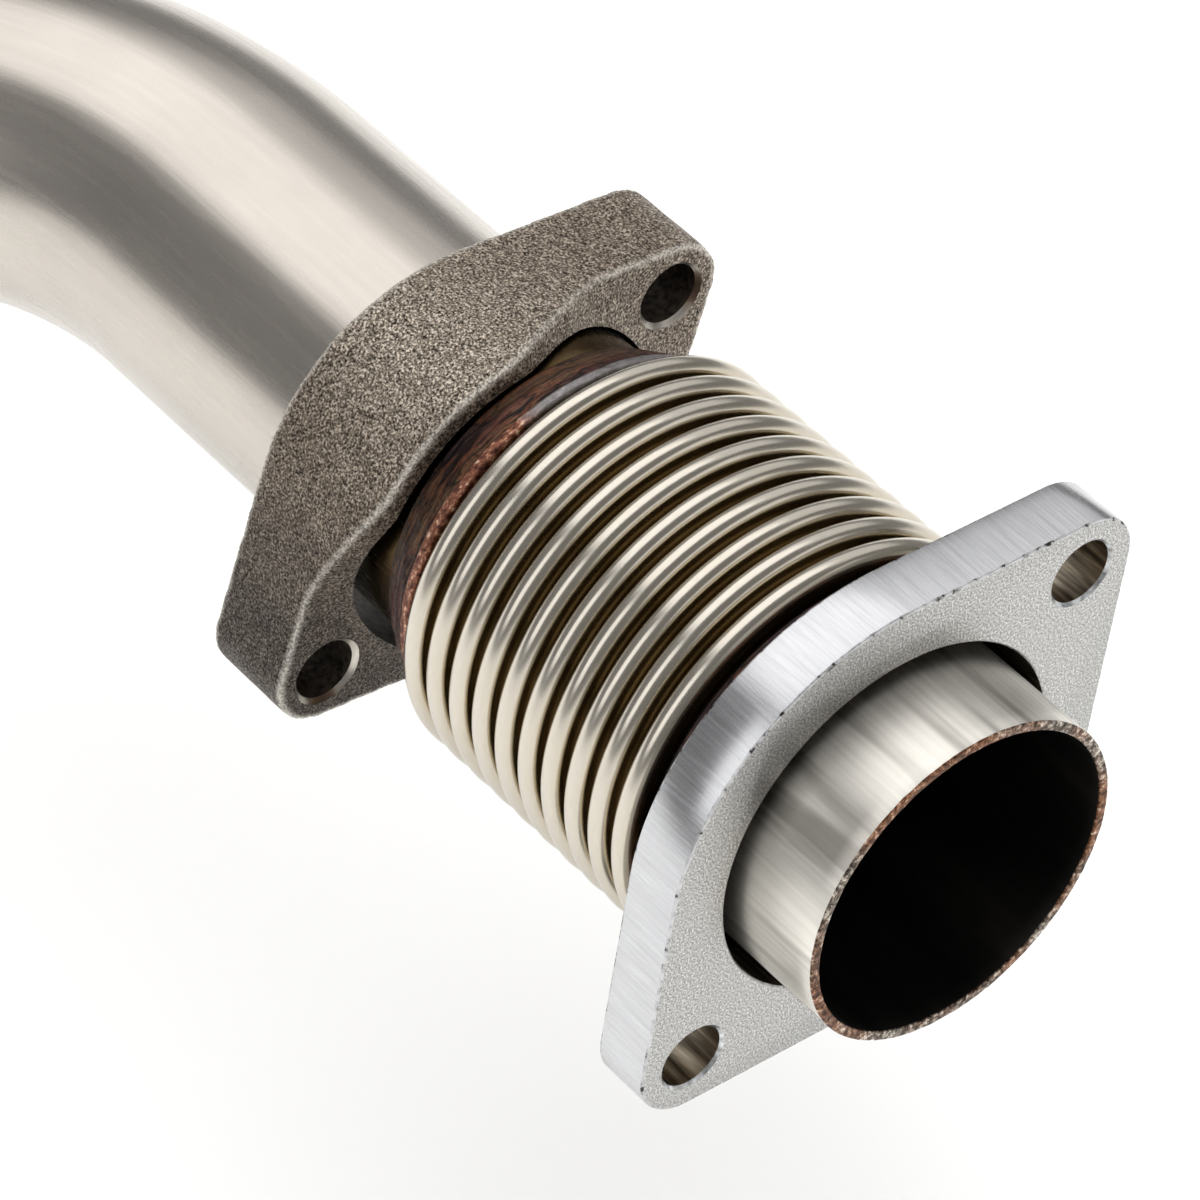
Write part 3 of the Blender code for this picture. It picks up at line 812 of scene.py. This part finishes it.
def makeLiner():
    outer, inner = linerHigh.z, linerHigh.z - liner["wall"]
    start, end = linerLow.x, linerHigh.x
    edge, knee = liner["edge"], liner["edge"] * 0.3
    corners = [(start, outer), (end - edge, outer), (end - knee, outer - knee)]
    corners += [(end, outer - edge), (end, inner + edge), (end - knee, inner + knee)]
    corners += [(end - edge, inner), (start, inner)]
    section = densify(corners, liner["ringStep"])
    atRim = [ring for ring, point in enumerate(section) if abs(point[0] - (end - edge)) < 1e-9]
    rimFrom, rimTo = atRim[0], atRim[-1]
    steps = liner["steps"]
    grid = turnedGrid(section, steps)
    coarse, fine = [fineness(width) for width in liner["tearWidths"]]
    for ring in range(rimFrom, rimTo + 1):
        for step, point in enumerate(grid[ring]):
            fineTear = liner["fineTear"] * noise.noise(Vector(point) * fine)
            tear = noise.noise(Vector(point) * coarse) + fineTear
            grid[ring, step, 0] += (tear * 0.8 - 0.5) * liner["torn"]  # the saw only takes metal off
    slots = np.zeros(len(section), int)
    slots[rimFrom:rimTo] = 1
    slots[rimTo:] = 2
    materials = [millStainless(), sawCut(), boreShade]
    faces = ringFaces(len(section), steps)
    piece = makeObject("slip_tube", grid.reshape(-1, 3), faces, materials, np.repeat(slots, steps))
    joinFrame(piece, "pipe", "slip_liner")


# the bent tube, swept along its own bend

tube = {
    "radius": 25.1 * mm,
    "wall": 1.5 * mm,
    "bendRadius": 101.6 * mm,
    "bendAngle": 45,
    "drop": 20,  # degrees the bend's plane hangs below level
    "straight": 76.5 * mm,
    "tail": 25 * mm,
    "gap": 0.3 * mm,  # before the seam weld
    "oval": 0.012,  # the bend's section is this much flatter
    "straightRings": 30,
    "bendRings": 44,
    "tailRings": 10,
    "steps": 160,
}


def makeBentTube():
    side = Vector((0, -cos(radians(tube["drop"])), -sin(radians(tube["drop"]))))
    up = Vector((1, 0, 0)).cross(side)
    begin = tubeEnd - tube["gap"]
    straight, reach = tube["straight"], tube["bendRadius"]
    stations = []  # each ring's centre, sideways direction, way along the tube and flatness
    for step in range(tube["straightRings"] + 1):
        along = straight * step / tube["straightRings"]
        stations.append((Vector((begin - along, 0, 0)), side.copy(), along, 0.0))
    for step in range(1, tube["bendRings"] + 1):
        share = step / tube["bendRings"]
        turn = radians(tube["bendAngle"]) * share
        centre = Vector((begin - straight - reach * sin(turn), 0, 0)) + side * reach * (1 - cos(turn))
        across = side * cos(turn) + Vector((sin(turn), 0, 0))
        stations.append((centre, across, straight + reach * turn, sin(pi * share) ** 0.5))
    last, across, reached, _ = stations[-1]
    onward = up.cross(across).normalized()
    if onward.x > 0:
        onward.negate()
    for step in range(1, tube["tailRings"] + 1):
        along = tube["tail"] * step / tube["tailRings"]
        stations.append((last + onward * along, across, reached + along, 0.0))
    steps = tube["steps"]
    turns = np.arange(steps) * 2 * pi / steps
    points, flows = [], []
    for radius, order in ((tube["radius"], stations), (tube["radius"] - tube["wall"], stations[::-1])):
        for centre, across, along, flat in order:
            sideways = np.cos(turns)[:, None] * np.array(across) * (1 - tube["oval"] * flat)
            points.append(np.array(centre) + radius * (sideways + np.sin(turns)[:, None] * np.array(up)))
            unbent = [np.full(steps, begin - along), radius * np.cos(turns), radius * np.sin(turns)]
            flows.append(np.stack(unbent, 1))
    rings = len(points)
    slots = np.zeros(rings, int)
    slots[rings // 2 - 1:] = 1
    materials = [satinStainless(), boreShade]
    faces = ringFaces(rings, steps)
    piece = makeObject("bent_tube_swept", np.concatenate(points), faces, materials, np.repeat(slots, steps))
    markPoints(piece, "tubeFlow", np.concatenate(flows))  # the tube as if it were straight
    joinFrame(piece, "pipe", "bent_tube")


makeLiner()
makeBentTube()
print("tubes made")

# weld beads: what they share, then one for each

bead = {
    "rows": 40,
    "steps": 360,
    "ripples": 74,  # stacked crescents left by the torch
    "bow": 5.0,  # how far the crescents bend
    "ridge": 0.34 * mm,
    "lump": 0.30 * mm,
    "lumps": 9.0,
    "lumpLean": 3,
    "streaks": (6.0, 1.7),  # across the bead, around it
    "streakFrom": (9.0, 2.0, 0),  # where the random draws start
    "swings": 2.2,
    "swingFrom": (3.1, 0, 0),
    "swing": 0.10,  # share of its width that the toe wanders
    "fade": 6,  # calm at the toe, less so at the far side
    "heel": 0.35,
    "least": 0.05 * mm,
    "sharp": 50,
}
inletFillet = {
    "foot": 25.45 * mm,
    "height": lambda share: (1.25 + 1.9 * (1 - (1 - share) ** 2)) * mm,
    "intoBand": 0.1 * mm,
    "ripple": 0.05 * mm,
    "ridge": 0.34 * mm,
}
seamBead = {
    "foot": 23.55 * mm,
    "height": lambda share: (1.5 + 0.5 * sin(pi * share)) * mm,
    "ripple": 0.05 * mm,
    "ridge": 0.02 * mm,
}
outletFillet = {
    "foot": 28.95 * mm,
    "height": lambda share: (1.1 + 1.9 * share) * mm,
    "ripple": 0.10 * mm,
    "ridge": 0.08 * mm,
}


def makeBead(name, start, end, weld, body, node):
    # its height over the foot follows the share of the way from start to end
    rows, steps, foot = bead["rows"], bead["steps"], weld["foot"]
    section = [(start + (end - start) * row / rows, foot) for row in range(rows + 1)]
    grid = turnedGrid([*section, *section[::-1]], steps)
    ridges = np.zeros(grid.shape[:2])
    streaksAcross, streaksAround = bead["streaks"]
    for row in range(rows + 1):
        share = row / rows
        fade = min(1.0, bead["fade"] * share, bead["fade"] * (1 - share) + bead["heel"])
        for step in range(steps):
            turn = 2 * pi * step / steps
            on = Vector((0, cos(turn), sin(turn)))
            swing = noise.noise(on * bead["swings"] + Vector(bead["swingFrom"])) * bead["swing"]
            height = weld["height"](min(1.0, max(0.0, share + swing * fade)))
            crescent = cos(bead["ripples"] * turn - bead["bow"] * (share - 0.5) ** 2)
            height += weld["ripple"] * crescent * fade
            place = Vector((share * streaksAcross, on.y * streaksAround, on.z * streaksAround))
            streak = noise.noise(place + Vector(bead["streakFrom"]))
            height += weld["ridge"] * streak * fade
            ridges[row, step] = 0.5 + 0.5 * streak
            place = on * bead["lumps"] + Vector((share * bead["lumpLean"], 0, 0))
            lump = bead["lump"] * noise.noise(place)
            height += lump * fade * (weld["ridge"] / bead["ridge"])
            radius = foot + max(bead["least"], height)
            grid[row, step, 1:] = (radius * on.y, radius * on.z)
    faces = ringFaces(2 * rows + 2, steps)
    piece = makeObject(name, grid.reshape(-1, 3), faces, [weldMetal], None, bead["sharp"])
    markPoints(piece, "ridge", ridges.ravel())
    joinFrame(piece, body, node)


# the rusted band over the bellows' inlet end, and the plain ring at the outlet

band = {
    "inner": 27.3 * mm,
    "ringStep": 0.14 * mm,
    "steps": 400,
    "skin": 1.2 * mm,  # this far in from the bore the roughness is full
    "lipWidth": 1.0 * mm,
    "orangeWidth": 0.9 * mm,
    "flake": 0.11 * mm,
    "flakeSizes": (0.77, 2.4),  # in millimetres, across the band and around it
    "wave": 0.42 * mm,  # how far the lip wanders
    "waveSize": 8.3,
    "tuck": 0.25 * mm,  # how far the lip is drawn in
    "sink": 0.1 * mm,
    "sharp": 50,
}
outletRing = {"inner": 29.0 * mm, "chamfer": 0.3 * mm, "ringStep": 0.3 * mm, "steps": 300}


def makeBand():
    start, end = bandLow.x, bandHigh.x
    inner, outer = band["inner"], bandHigh.z
    corners = [(start, inner), (start, outer - 0.5 * mm), (start + 0.15 * mm, outer - 0.1 * mm)]
    corners += [(start + 0.4 * mm, outer), (end - 0.4 * mm, outer), (end - 0.1 * mm, outer - 0.2 * mm)]
    corners += [(end, outer - 0.5 * mm), (end, inner)]
    section = densify(corners, band["ringStep"])
    grid = turnedGrid(section, band["steps"])
    lips = np.zeros(grid.shape[:2])
    flakeAcross, flakeAround = [fineness(size) for size in band["flakeSizes"]]
    waveScale = fineness(band["waveSize"])
    for ring, (x, radius) in enumerate(section):
        if radius > inner + band["skin"]:
            lips[ring] = max(0.0, 1 - (x - start) / band["orangeWidth"])
        skin = max(0.0, min(1.0, (radius - inner) / band["skin"]))
        lip = max(0.0, 1 - (x - start) / band["lipWidth"])
        for step in range(band["steps"]):
            point = Vector(grid[ring, step])
            flake = noise.noise(Vector((point.x * flakeAcross, point.y * flakeAround, point.z * flakeAround)))
            wave = noise.noise(Vector((0, point.y * waveScale, point.z * waveScale)))
            grid[ring, step, 0] += wave * band["wave"] * lip * skin
            lift = flake * band["flake"] + min(0.0, wave) * band["tuck"] * lip - band["sink"]
            grid[ring, step, 1:] *= 1 + lift * skin / radius
    faces = ringFaces(len(section), band["steps"])
    piece = makeObject("clamp_band", grid.reshape(-1, 3), faces, [rustBand()], None, band["sharp"])
    markPoints(piece, "lip", lips.ravel())
    joinFrame(piece, "pipe", "inlet_collar")


def makeOutletRing():
    start, end = ringLow.x, ringHigh.x
    inner, outer = outletRing["inner"], ringHigh.z
    chamfer = outletRing["chamfer"]
    corners = [(start, inner), (start, outer - chamfer), (start + chamfer, outer), (end, outer), (end, inner)]
    section = densify(corners, outletRing["ringStep"])
    piece = turnedPiece("outlet_ring", section, outletRing["steps"], weldMetal)
    joinFrame(piece, "outlet", "outlet_collar")


# plain ends of the two plies, clamped at the inlet and butted on the flange at the outlet

cuff = {"radius": 26.92 * mm, "steps": 240, "toBand": 0.2 * mm, "toPlate": 0.3 * mm}


def makeCuffs():
    wall, root = bellows["ply"], bellows["rootRadius"]
    inlet, outlet = bellows["inletEnd"], bellows["outletEnd"]
    line = [(inlet, root), (inlet - 0.35 * mm, root - 0.35 * mm), (inlet - 0.6 * mm, root - 1.2 * mm)]
    line += [(inlet - 0.9 * mm, cuff["radius"]), (bandLow.x - cuff["toBand"], cuff["radius"])]
    flangeEnd = plateLow.x - cuff["toPlate"]
    for ply, depth in (("outer", 0.0), ("inner", bellows["innerDepth"])):
        node = f"bellows_{ply}_ply"
        section = [(x, radius - depth) for x, radius in line]
        section += [(x, radius - depth - wall) for x, radius in line[::-1]]
        piece = turnedPiece("cuff_inlet_" + ply, section, cuff["steps"], sheetMetal)
        joinFrame(piece, "pipe", node)
        section = [(outlet, root - depth), (flangeEnd, root - depth)]
        section += [(flangeEnd, root - depth - wall), (outlet, root - depth - wall)]
        piece = turnedPiece("cuff_outlet_" + ply, section, cuff["steps"], sheetMetal)
        joinFrame(piece, "outlet", node)


makeBead("inlet_fillet", weldLow.x, bandLow.x + inletFillet["intoBand"], inletFillet, "pipe", "inlet_weld")
makeBead("seam_bead", seamLow.x, seamHigh.x, seamBead, "pipe", "seam_weld")
makeBead("outlet_fillet", outletWeldLow.x, outletWeldHigh.x, outletFillet, "outlet", "outlet_weld")
makeBand()
makeOutletRing()
makeCuffs()
print("welds and collars made")

# the two flanges, and the tools that cut them

plate = {
    "radius": 36.5 * mm,
    "earRadius": 8.6 * mm,
    "boltOffset": 40.77 * mm,
    "bore": 27.5 * mm,
    "boreChamfer": 0.225 * mm,
    "hole": 4.9 * mm,
    "holeChamfer": 0.45 * mm,
    "roll": 37.4,
    "edge": 0.35 * mm,
    "faceFrom": 0.99,  # a normal this far along X is the face's, over cornerFrom the corner's
    "cornerFrom": 0.1,
    "sharp": 30,
    "outlineSteps": 48,
}
cast = {
    "radius": 30.5 * mm,
    "earRadius": 8.2 * mm,
    "boltOffset": 35.0 * mm,
    "bore": 26.85 * mm,
    "boreChamfer": 0.5 * mm,
    "hole": 4.8 * mm,
    "holeChamfer": 0.7 * mm,
    "roll": 30.3,
    "raise": 8.2 * mm,
    "padHalf": 11.5 * mm,  # the slope of each saddle runs from here out to padFoot
    "padFoot": 29.5 * mm,
    "slopeSteps": 24,
    "toolReach": 60 * mm,
    "toolRise": 5 * mm,
    "voxel": 0.62 * mm,
    "rounding": 6,  # smoothing passes that round the mould's corners
    "smoothing": 0.6,
    "wave": 0.16 * mm,  # unevenness of the sand mould
    "waveSizes": (5.3, 1.9),  # in millimetres
    "rubbed": 0.045,  # how proud a corner stands, in voxels, before it is rubbed
    "spreads": 3,
    "sharp": 38,
    "outlineSteps": 40,
}
drill = {"boreSteps": 180, "holeSteps": 72, "past": 3 * mm}


def earOutline(size, inset):
    # a disc with an ear at each side, joined by tangents
    radius, earRadius, offset = size["radius"] - inset, size["earRadius"] - inset, size["boltOffset"]
    lean = pi / 2 - asin((radius - earRadius) / offset)
    steps = size["outlineSteps"]
    points = []
    for centre, reach, first, last in (
        (offset, earRadius, -lean, lean),
        (0, radius, lean, pi - lean),
        (-offset, earRadius, pi - lean, pi + lean),
        (0, radius, pi + lean, 2 * pi - lean),
    ):
        for step in range(steps + 1):
            turn = first + (last - first) * step / steps
            points.append((centre + reach * cos(turn), reach * sin(turn)))
    return points


def wallFaces(levels, count, base=0):
    # quads between stacked outlines, then a cap at each end
    faces = []
    for level in range(levels - 1):
        low, high = base + level * count, base + (level + 1) * count
        for step in range(count):
            beside = (step + 1) % count
            faces.append((low + step, low + beside, high + beside, high + step))
    last = base + (levels - 1) * count
    return faces + [tuple(range(base, base + count)), tuple(range(last, last + count))]


def earedBody(name, size, levels, materials):
    # outlines stacked along X, each at its own place and inset
    points = [(x, y, z) for x, inset in levels for y, z in earOutline(size, inset)]
    return makeObject(name, points, wallFaces(len(levels), len(points) // len(levels)), materials)


def cutWith(piece, tool):
    modifier = piece.modifiers.new("cut", "BOOLEAN")
    modifier.object = tool
    modifier.solver = "EXACT"
    modifier.material_mode = "TRANSFER"
    bakeModifiers(piece)
    bpy.data.objects.remove(tool)


def drillHoles(piece, size, back, front, foot, materials):
    # the bore and two bolt holes, each with a straight wall and a chamfer at both faces
    points, faces, slots = [], [], []
    past = drill["past"]
    holes = [(0, size["bore"], size["boreChamfer"], drill["boreSteps"], front)]
    for side in (-1, 1):
        holes.append((side * size["boltOffset"], size["hole"], size["holeChamfer"], drill["holeSteps"], foot))
    for across, radius, chamfer, steps, top in holes:
        wide = radius + chamfer + past
        section = ((back - past, wide), (back + chamfer, radius), (top - chamfer, radius), (top + past, wide))
        faces += wallFaces(4, steps, len(points))
        slots += [1] * steps + [0] * steps + [1] * steps + [0, 0]
        for x, reach in section:
            for step in range(steps):
                turn = 2 * pi * step / steps
                points.append((x, across + reach * cos(turn), reach * sin(turn)))
    cutWith(piece, makeObject("drills", points, faces, materials, slots))


def placeMesh(piece, roll, centre):
    piece.data.transform(Matrix.Translation(centre) @ Matrix.Rotation(radians(roll), 4, "X"))


def makeOutletFlange():
    back, front = plateLow.x, plateHigh.x
    edge, knee = plate["edge"], plate["edge"] * 0.3
    levels = ((back, edge), (back + knee, knee), (back + edge, 0), (front - edge, 0))
    levels += ((front - knee, knee), (front, edge))
    rim, face, corner = platedRim(), platedFace(), platedEdge()
    bare = [plateBore(), drilledSteel()]
    piece = earedBody("plate_flange", plate, levels, [rim, face, corner, *bare])
    drillHoles(piece, plate, back, front, front, bare)
    slots = list(piece.data.materials)
    for polygon in piece.data.polygons:
        if polygon.material_index != slots.index(rim):
            continue
        if abs(polygon.normal.x) > plate["faceFrom"]:
            polygon.material_index = slots.index(face)
        elif abs(polygon.normal.x) > plate["cornerFrom"]:
            polygon.material_index = slots.index(corner)
    piece.data.set_sharp_from_angle(angle=radians(plate["sharp"]))
    placeMesh(piece, plate["roll"], Vector((0, 0, 0)))
    joinFrame(piece, "outlet", "outlet_flange")


def cutSaddle(piece, side, top, foot):
    # takes the metal off one ear and leaves the raised middle with a long easy slope
    steps = cast["slopeSteps"]
    reach = cast["padFoot"] - cast["padHalf"]
    slope = []
    for step in range(steps + 1):
        share = step / steps
        height = cast["raise"] * (share + (1 - cos(pi * share)) / 2) / 2
        slope.append((foot + height, side * (cast["padFoot"] - reach * step / steps)))
    far, above = side * cast["toolReach"], top + cast["toolRise"]
    section = [(foot, far), *slope, (above, slope[-1][1]), (above, far)]
    points = [(x, y, z) for z in (-cast["toolReach"], cast["toolReach"]) for x, y in section]
    cutWith(piece, makeObject("saddle", points, wallFaces(2, len(section)), []))


def roughenCasting(mesh):
    # moves the skin as a sand mould would, and gives back how far each point is rubbed bright
    count = len(mesh.vertices)
    places, normals = np.empty(count * 3), np.empty(count * 3)
    mesh.vertices.foreach_get("co", places)
    mesh.vertices.foreach_get("normal", normals)
    places, normals = places.reshape(-1, 3), normals.reshape(-1, 3)
    edges = np.empty(len(mesh.edges) * 2, int)
    mesh.edges.foreach_get("vertices", edges)
    edges = edges.reshape(-1, 2)
    # how far each point stands proud of its neighbours, spread a little
    sums, valence = np.zeros((count, 3)), np.zeros(count)
    for one, other in ((0, 1), (1, 0)):
        np.add.at(sums, edges[:, one], places[edges[:, other]])
        np.add.at(valence, edges[:, one], 1)
    proud = ((places - sums / valence[:, None]) * normals).sum(1) / cast["voxel"]
    for _ in range(cast["spreads"]):
        spread = np.zeros(count)
        np.add.at(spread, edges[:, 0], proud[edges[:, 1]])
        np.add.at(spread, edges[:, 1], proud[edges[:, 0]])
        proud = 0.5 * proud + 0.5 * spread / valence
    # the skin only moves inwards, so the casting keeps its size
    coarse, fine = [fineness(size) for size in cast["waveSizes"]]
    wave = np.array([noise.noise(Vector(p) * coarse) + 0.5 * noise.noise(Vector(p) * fine) for p in places])
    places += normals * ((wave * 0.5 - 0.25) * cast["wave"])[:, None]
    mesh.vertices.foreach_set("co", places.ravel())
    return np.clip((proud - cast["rubbed"]) / cast["rubbed"], 0, 1)


def makeCastFlange():
    back, top = castLow.x, castHigh.x
    foot = top - cast["raise"]
    piece = earedBody("cast_flange_body", cast, ((back, 0), (top, 0)), [castIron()])
    for side in (-1, 1):
        cutSaddle(piece, side, top, foot)
    remesh = piece.modifiers.new("mould", "REMESH")
    remesh.mode = "VOXEL"
    remesh.voxel_size = cast["voxel"]
    smooth = piece.modifiers.new("round", "SMOOTH")
    smooth.factor = cast["smoothing"]
    smooth.iterations = cast["rounding"]
    bakeModifiers(piece)
    markPoints(piece, "rubbed", roughenCasting(piece.data))
    drillHoles(piece, cast, back, top, foot, [castBorePaintedShade(), drilledIron()])
    shadeSmooth(piece.data, cast["sharp"])
    centre = (castLow + castHigh) / 2
    placeMesh(piece, cast["roll"], Vector((0, centre.y, centre.z)))
    joinFrame(piece, "loose_flange", "cast_flange")


makeOutletFlange()
makeCastFlange()
print("flanges made")
